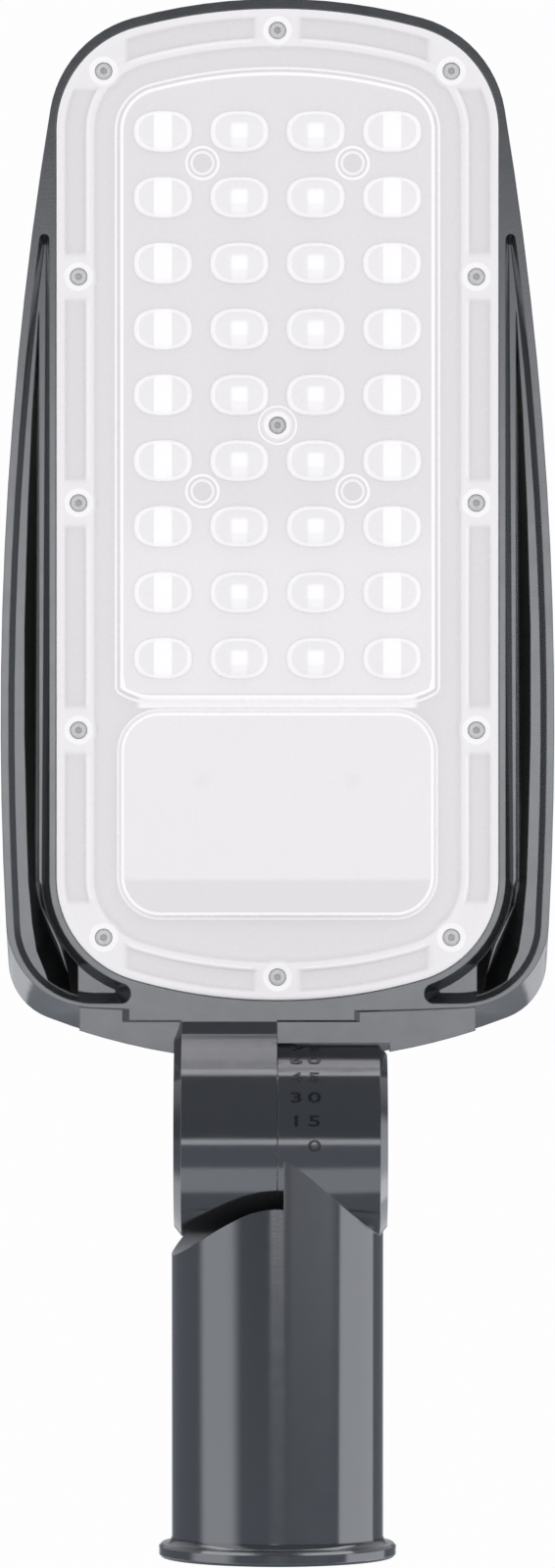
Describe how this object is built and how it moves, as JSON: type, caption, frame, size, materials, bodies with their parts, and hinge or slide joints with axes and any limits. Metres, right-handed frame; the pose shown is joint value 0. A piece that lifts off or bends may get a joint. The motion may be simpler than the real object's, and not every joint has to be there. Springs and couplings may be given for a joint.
{
  "type": "led street light head",
  "caption": "Street light head: finned casting with a milky lens cover, tilting on a toothed knuckle above a round spigot for a lamp pole.",
  "frame": {"origin": "centre of the spigot's mouth, on the axis of its bore", "axes": "+Y from the spigot's mouth to the lamp's tip, -Z the way the light goes, +Z the side of the cooling fins"},
  "size_m": [0.1788, 0.5014, 0.0926],
  "materials": {
    "coated_casting": "satin powder coat",
    "milky_cover": "milky, smooth",
    "grey_rubber": "matte",
    "screw_steel": "bright",
    "board_white": "satin",
    "phosphor": "soft",
    "driver_case": "satin",
    "plate_steel": "white",
    "nylon_white": "matte",
    "tinned": "tinned copper",
    "lead_red": "satin",
    "lead_black": "satin",
    "lead_brown": "satin",
    "lead_blue": "satin",
    "lead_green": "satin",
    "gland_nylon": "satin",
    "seal_rubber": "matte"
  },
  "bodies": {
    "sleeve": {"spigot_sleeve": "coated_casting", "pole_screws": "screw_steel", "pivot_bolt": "screw_steel", "pivot_washer": "screw_steel", "pivot_spring_washer": "screw_steel", "pivot_nut": "screw_steel"},
    "head": {"housing": "coated_casting", "lens_cover": "milky_cover", "cover_gasket": "grey_rubber", "rim_screws": "screw_steel", "centre_screw": "screw_steel", "thermal_pad": "grey_rubber", "led_board": "board_white", "leds": "phosphor", "board_screws": "screw_steel", "board_connector": "nylon_white", "driver_plate": "plate_steel", "driver": "driver_case", "driver_screws": "screw_steel", "terminal_block": "nylon_white", "terminal_screws": "screw_steel", "earth_screw": "screw_steel", "earth_ring_terminal": "tinned", "led_lead_positive": "lead_red", "led_lead_negative": "lead_black", "driver_lead_live": "lead_brown", "driver_lead_neutral": "lead_blue", "earth_lead": "lead_green", "cable_gland": "gland_nylon", "gland_washer": "seal_rubber", "gland_seal": "seal_rubber", "gland_nut": "gland_nylon"}
  },
  "joints": [
    {"name": "tilt", "type": "hinge", "parent": "sleeve", "child": "head", "pos_m": [0, 0.1337, -0.0037], "axis": [-1, 0, 0], "range_deg": [0, 90]}
  ]
}
